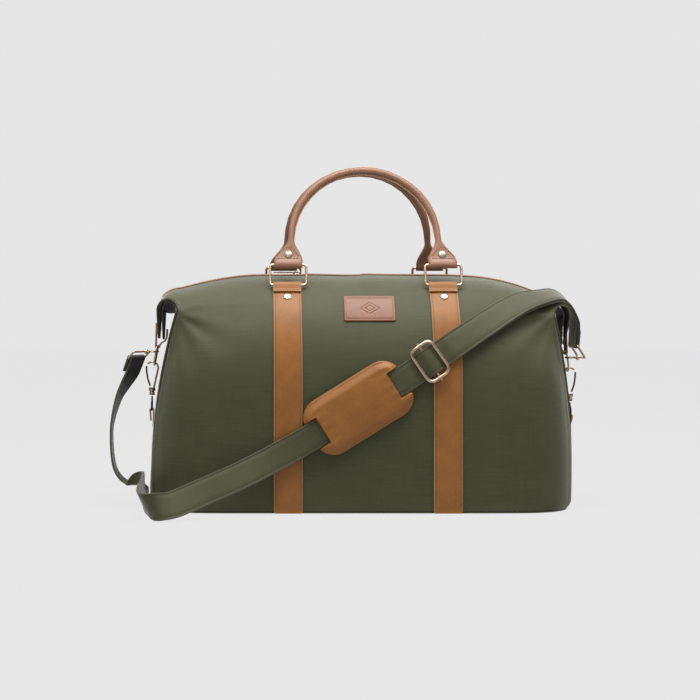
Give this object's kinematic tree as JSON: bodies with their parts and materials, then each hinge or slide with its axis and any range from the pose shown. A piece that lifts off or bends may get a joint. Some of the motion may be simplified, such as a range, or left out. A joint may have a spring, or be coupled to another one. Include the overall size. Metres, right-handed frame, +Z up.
{
  "type": "duffel bag",
  "caption": "Canvas weekender bag with leather straps, winged zip ends, two rolled handles on rings and a shoulder strap with a pad and slider.",
  "frame": {"origin": "on the ground under the middle of the bag", "axes": "+Z up, +X along the bag's length to the viewer's right when seen from the front, the front faces -Y"},
  "size_m": [0.6223, 0.3235, 0.445],
  "materials": {
    "canvas": "matt woven olive canvas",
    "strap_canvas": "matt ribbed olive canvas, near-black underneath",
    "leather": "smooth semi-gloss tan with stitched edges",
    "handle_leather": "smooth semi-gloss tan, rolled",
    "label_leather": "semi-gloss tan with a debossed pattern",
    "rose_gold": "polished pale rose gold",
    "rivets": "polished pale gold",
    "dark_metal": "dark bronze",
    "zip_tape": "matt woven tape",
    "zip_teeth": "coil teeth, satin",
    "board": "stiff board, matt"
  },
  "bodies": {
    "root": {"back_panel": "canvas", "base_board": "board", "base_panel": "canvas", "front_panel": "canvas", "label_patch": "label_leather", "left_gusset": "canvas", "pad_cover": "leather", "right_gusset": "canvas", "shoulder_pad": "leather", "shoulder_strap": "strap_canvas", "side_loop_left": "dark_metal", "side_loop_right": "dark_metal", "side_tab_left": "leather", "side_tab_right": "leather", "slider_bar": "rose_gold", "slider_frame": "rose_gold", "strap_back_left": "leather", "strap_back_right": "leather", "strap_clasp_left": "rose_gold", "strap_clasp_right": "rose_gold", "strap_front_left": "leather", "strap_front_right": "leather", "strap_loop_left": "rose_gold", "strap_loop_right": "rose_gold", "strap_rivet_back_left": "rivets", "strap_rivet_back_right": "rivets", "strap_rivet_front_left": "rivets", "strap_rivet_front_right": "rivets", "wing_tab_left": "leather", "wing_tab_right": "leather", "zip_tape_back": "zip_tape", "zip_tape_front": "zip_tape", "zip_teeth": "zip_teeth", "zip_trim_back": "leather", "zip_trim_front": "leather"},
    "front_ring_left": {"ring_front_left": "rose_gold"},
    "front_ring_right": {"ring_front_right": "rose_gold"},
    "front_handle": {"handle_front": "handle_leather", "handle_rivet_front_left": "rivets", "handle_rivet_front_right": "rivets"},
    "back_ring_left": {"ring_back_left": "rose_gold"},
    "back_ring_right": {"ring_back_right": "rose_gold"},
    "back_handle": {"handle_back": "handle_leather", "handle_rivet_back_left": "rivets", "handle_rivet_back_right": "rivets"},
    "zip_slider": {"zip_slider": "rose_gold"},
    "zip_pull": {"zip_pull": "rose_gold"},
    "wing_ring_left": {"wing_ring_left": "rose_gold"},
    "side_hook_left": {"side_hook_left": "rose_gold"},
    "side_gate_left": {"side_gate_left": "rose_gold"},
    "strap_gate_left": {"strap_gate_left": "rose_gold"},
    "wing_ring_right": {"wing_ring_right": "rose_gold"},
    "side_hook_right": {"side_hook_right": "rose_gold"},
    "side_gate_right": {"side_gate_right": "rose_gold"},
    "strap_gate_right": {"strap_gate_right": "rose_gold"}
  },
  "joints": [
    {"name": "front_ring_left_swing", "type": "hinge", "parent": "root", "child": "front_ring_left", "pos_m": [-0.0984, -0.06755, 0.28707], "axis": [1, 0, 0], "range_deg": [0, 100]},
    {"name": "front_ring_right_swing", "type": "hinge", "parent": "root", "child": "front_ring_right", "pos_m": [0.1016, -0.06755, 0.28707], "axis": [1, 0, 0], "range_deg": [0, 100]},
    {"name": "front_handle_swing", "type": "hinge", "parent": "front_ring_left", "child": "front_handle", "pos_m": [-0.0984, -0.05685, 0.31349], "axis": [1, 0, 0], "range_deg": [0, 50]},
    {"name": "back_ring_left_swing", "type": "hinge", "parent": "root", "child": "back_ring_left", "pos_m": [-0.1016, 0.06755, 0.28707], "axis": [-1, 0, 0], "range_deg": [0, 100]},
    {"name": "back_ring_right_swing", "type": "hinge", "parent": "root", "child": "back_ring_right", "pos_m": [0.0984, 0.06755, 0.28707], "axis": [-1, 0, 0], "range_deg": [0, 100]},
    {"name": "back_handle_swing", "type": "hinge", "parent": "back_ring_left", "child": "back_handle", "pos_m": [-0.1016, 0.05685, 0.31349], "axis": [-1, 0, 0], "range_deg": [0, 50]},
    {"name": "zip_slide", "type": "slide", "parent": "root", "child": "zip_slider", "axis": [1, 0, 0], "range_m": [0, 0.195]},
    {"name": "zip_pull_flip", "type": "hinge", "parent": "zip_slider", "child": "zip_pull", "pos_m": [-0.085, 0, 0.3052], "axis": [0, 1, 0], "range_deg": [0, 160]},
    {"name": "wing_ring_left_swing", "type": "hinge", "parent": "root", "child": "wing_ring_left", "pos_m": [-0.27, 0, 0.2075], "axis": [0, 1, 0], "range_deg": [0, 5]},
    {"name": "side_hook_left_swivel", "type": "hinge", "parent": "root", "child": "side_hook_left", "pos_m": [-0.2775, 0, 0.149], "axis": [0, 0, 1], "range_deg": [-25, 25]},
    {"name": "side_gate_left_press", "type": "hinge", "parent": "side_hook_left", "child": "side_gate_left", "pos_m": [-0.2799, 0, 0.1546], "axis": [0, 1, 0], "range_deg": [0, 20], "stiffness_Nm_per_rad": 0.01, "springref_deg": -17.19},
    {"name": "strap_gate_left_press", "type": "hinge", "parent": "root", "child": "strap_gate_left", "pos_m": [-0.27796, -0.02327, 0.2005], "axis": [0, 0, 1], "range_deg": [0, 10], "stiffness_Nm_per_rad": 0.01, "springref_deg": -17.19},
    {"name": "wing_ring_right_swing", "type": "hinge", "parent": "root", "child": "wing_ring_right", "pos_m": [0.27, 0, 0.1995], "axis": [0, -1, 0], "range_deg": [0, 5]},
    {"name": "side_hook_right_swivel", "type": "hinge", "parent": "root", "child": "side_hook_right", "pos_m": [0.2775, 0, 0.141], "axis": [0, 0, 1], "range_deg": [-25, 25]},
    {"name": "side_gate_right_press", "type": "hinge", "parent": "side_hook_right", "child": "side_gate_right", "pos_m": [0.2799, 0, 0.1466], "axis": [0, -1, 0], "range_deg": [0, 20], "stiffness_Nm_per_rad": 0.01, "springref_deg": -17.19},
    {"name": "strap_gate_right_press", "type": "hinge", "parent": "root", "child": "strap_gate_right", "pos_m": [0.27796, -0.02327, 0.1925], "axis": [0, 0, -1], "range_deg": [0, 10], "stiffness_Nm_per_rad": 0.01, "springref_deg": -17.19}
  ],
  "couplings": [
    {"joint": "front_ring_right_swing", "follows": "front_ring_left_swing", "ratio": 1},
    {"joint": "back_ring_right_swing", "follows": "back_ring_left_swing", "ratio": 1}
  ]
}
